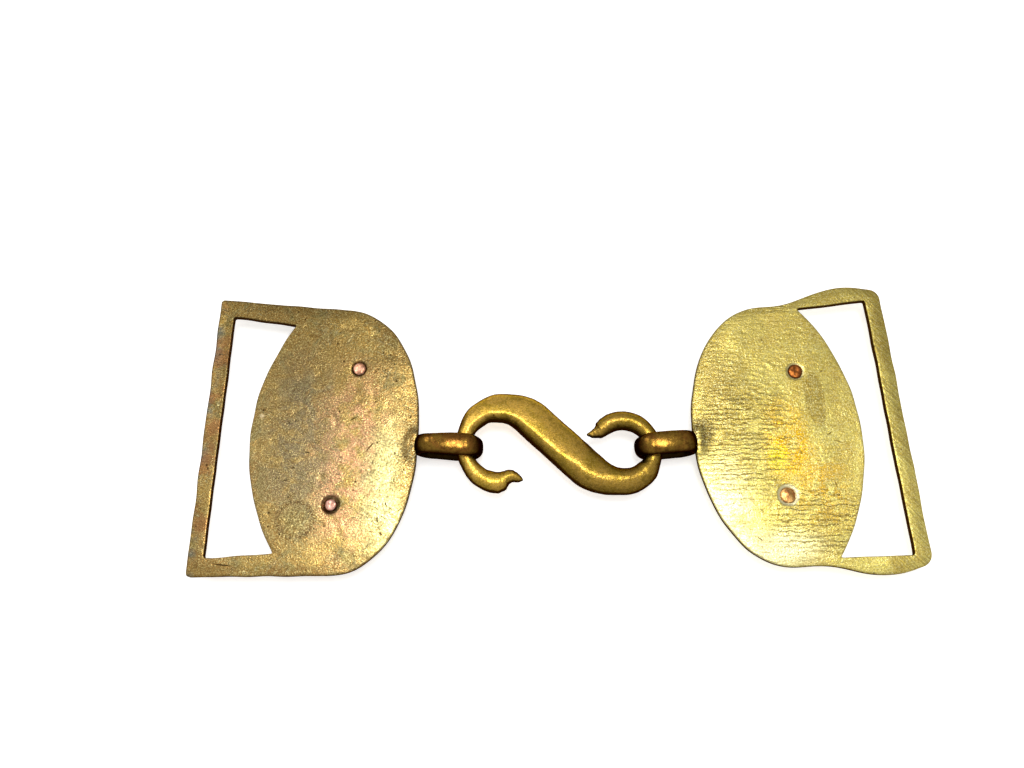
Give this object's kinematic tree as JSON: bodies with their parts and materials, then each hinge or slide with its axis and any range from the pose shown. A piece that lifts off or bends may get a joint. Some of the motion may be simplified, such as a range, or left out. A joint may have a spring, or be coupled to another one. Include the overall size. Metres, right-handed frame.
{
  "type": "belt buckle",
  "caption": "Snake-hook belt clasp seen from its back: slotted brass plates with riveted front badges and brazed loops, linked by an S-shaped hook.",
  "frame": {"origin": "middle of the clasp's outline, in the plane of the two badge rims on which it lies", "axes": "+X along the belt from the left plate to the right plate, +Y up the buckle, +Z out of its back"},
  "size_m": [0.1491, 0.0613, 0.0088],
  "materials": {
    "left_plate_brass": "aged, lightly polished back with olive and grey patina and fine scratches",
    "right_plate_brass": "filed back, bright yellow brass with rippled file marks",
    "loop_bronze": "dark bronze, rubbed smooth on the high points",
    "hook_brass": "cast, satin, darker in the hollows",
    "badge_brass": "polished relief with darkened recesses",
    "rivet_copper": "hammered copper, slightly dull"
  },
  "bodies": {
    "hook": {"snake_hook": "hook_brass"},
    "left_half": {"left_plate": "left_plate_brass", "left_loop": "loop_bronze", "left_badge": "badge_brass", "left_rivet_upper": "rivet_copper", "left_rivet_lower": "rivet_copper"},
    "right_half": {"right_plate": "right_plate_brass", "right_loop": "loop_bronze", "right_badge": "badge_brass", "right_rivet_upper": "rivet_copper", "right_rivet_lower": "rivet_copper"}
  },
  "joints": [
    {"name": "left_fold", "type": "hinge", "parent": "hook", "child": "left_half", "pos_m": [-0.01865, -0.0031, 0.0049], "axis": [0.0593, 0.9982, 0], "range_deg": [-105, 105]},
    {"name": "right_fold", "type": "hinge", "parent": "hook", "child": "right_half", "pos_m": [0.02031, -0.00367, 0.0049], "axis": [0.0663, -0.9978, 0], "range_deg": [-105, 105]}
  ]
}
